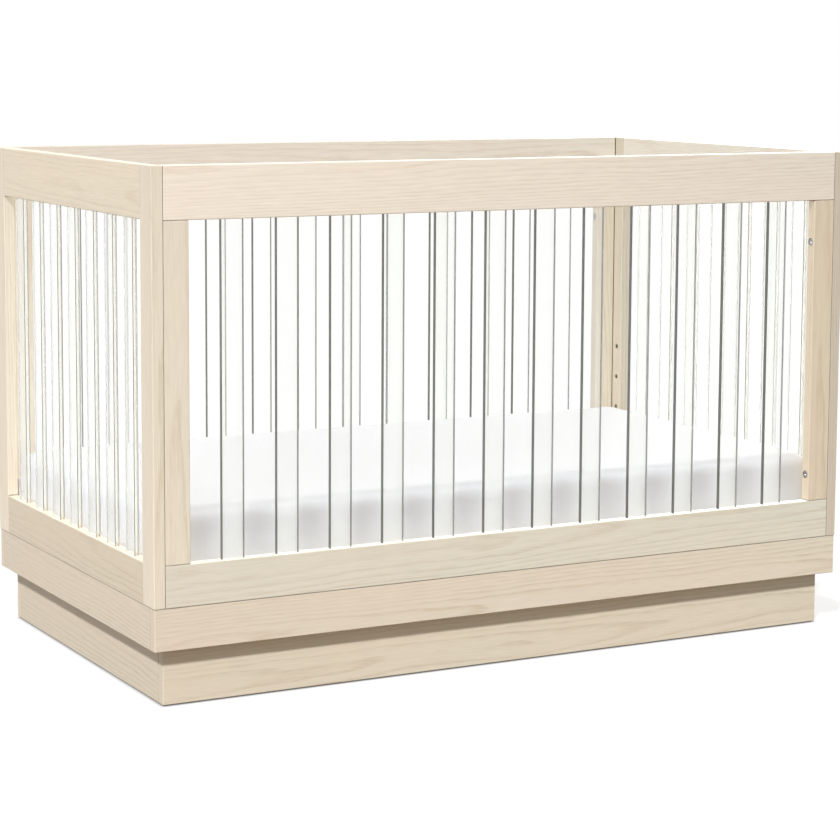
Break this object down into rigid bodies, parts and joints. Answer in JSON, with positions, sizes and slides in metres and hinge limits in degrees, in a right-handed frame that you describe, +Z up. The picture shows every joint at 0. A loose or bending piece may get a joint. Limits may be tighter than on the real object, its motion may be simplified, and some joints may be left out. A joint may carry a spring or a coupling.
{
  "type": "baby crib",
  "caption": "Full-size wooden baby crib with clear flat slats on a recessed plinth, with a mattress on a height-adjustable steel support.",
  "frame": {"origin": "on the floor, under the middle of the crib", "axes": "+Z up, the front faces -Y, +X to the right along the crib's length"},
  "size_m": [1.365, 0.762, 0.883],
  "materials": {
    "panel_wood": "satin, washed pale",
    "base_wood": "satin, washed pale",
    "raw_wood": "sanded, unfinished",
    "clear_slat": "polished clear acrylic",
    "mattress_cover": "smooth knitted cover",
    "support_steel": "powder coat",
    "hardware": "zinc plated",
    "insert": "turned",
    "glide": "moulded"
  },
  "bodies": {
    "crib_frame": {"back_bottom_rail": "panel_wood", "back_cleat": "raw_wood", "back_left_stile": "panel_wood", "back_right_stile": "panel_wood", "back_slats": "clear_slat", "back_top_rail": "panel_wood", "end_cleat_screws": "hardware", "end_rail_dowels": "raw_wood", "end_tie_plates": "hardware", "end_tie_screws": "hardware", "floor_glides": "glide", "front_bottom_rail": "panel_wood", "front_cleat": "raw_wood", "front_left_stile": "panel_wood", "front_right_stile": "panel_wood", "front_slats": "clear_slat", "front_top_rail": "panel_wood", "height_inserts": "insert", "left_bottom_rail": "panel_wood", "left_cleat": "raw_wood", "left_end_back_stile": "panel_wood", "left_end_front_stile": "panel_wood", "left_slats": "clear_slat", "left_top_rail": "panel_wood", "panel_locator_dowels": "raw_wood", "plinth_back_board": "base_wood", "plinth_corner_blocks": "raw_wood", "plinth_cross_brace": "raw_wood", "plinth_front_board": "base_wood", "plinth_left_board": "base_wood", "plinth_right_board": "base_wood", "right_bottom_rail": "panel_wood", "right_cleat": "raw_wood", "right_end_back_stile": "panel_wood", "right_end_front_stile": "panel_wood", "right_slats": "clear_slat", "right_top_rail": "panel_wood", "side_cleat_screws": "hardware", "side_joint_bolts": "hardware", "side_joint_inserts": "insert", "side_stile_dowels": "raw_wood", "side_tie_plates": "hardware", "side_tie_screws": "hardware", "skirt_back_board": "base_wood", "skirt_corner_blocks": "raw_wood", "skirt_front_board": "base_wood", "skirt_left_board": "base_wood", "skirt_right_board": "base_wood", "support_bolts": "hardware"},
    "mattress_support": {"support_back_angle": "support_steel", "support_corner_brackets": "support_steel", "support_cross_wires": "support_steel", "support_front_angle": "support_steel", "support_left_angle": "support_steel", "support_long_wires": "support_steel", "support_right_angle": "support_steel", "support_rivets": "hardware"},
    "mattress_body": {"mattress": "mattress_cover"}
  },
  "joints": [
    {"name": "mattress_height", "type": "slide", "parent": "crib_frame", "child": "mattress_support", "axis": [0, 0, 1], "range_m": [0, 0.192]},
    {"name": "mattress_lift", "type": "slide", "parent": "mattress_support", "child": "mattress_body", "axis": [0, 0, 1], "range_m": [0, 0.7]}
  ]
}
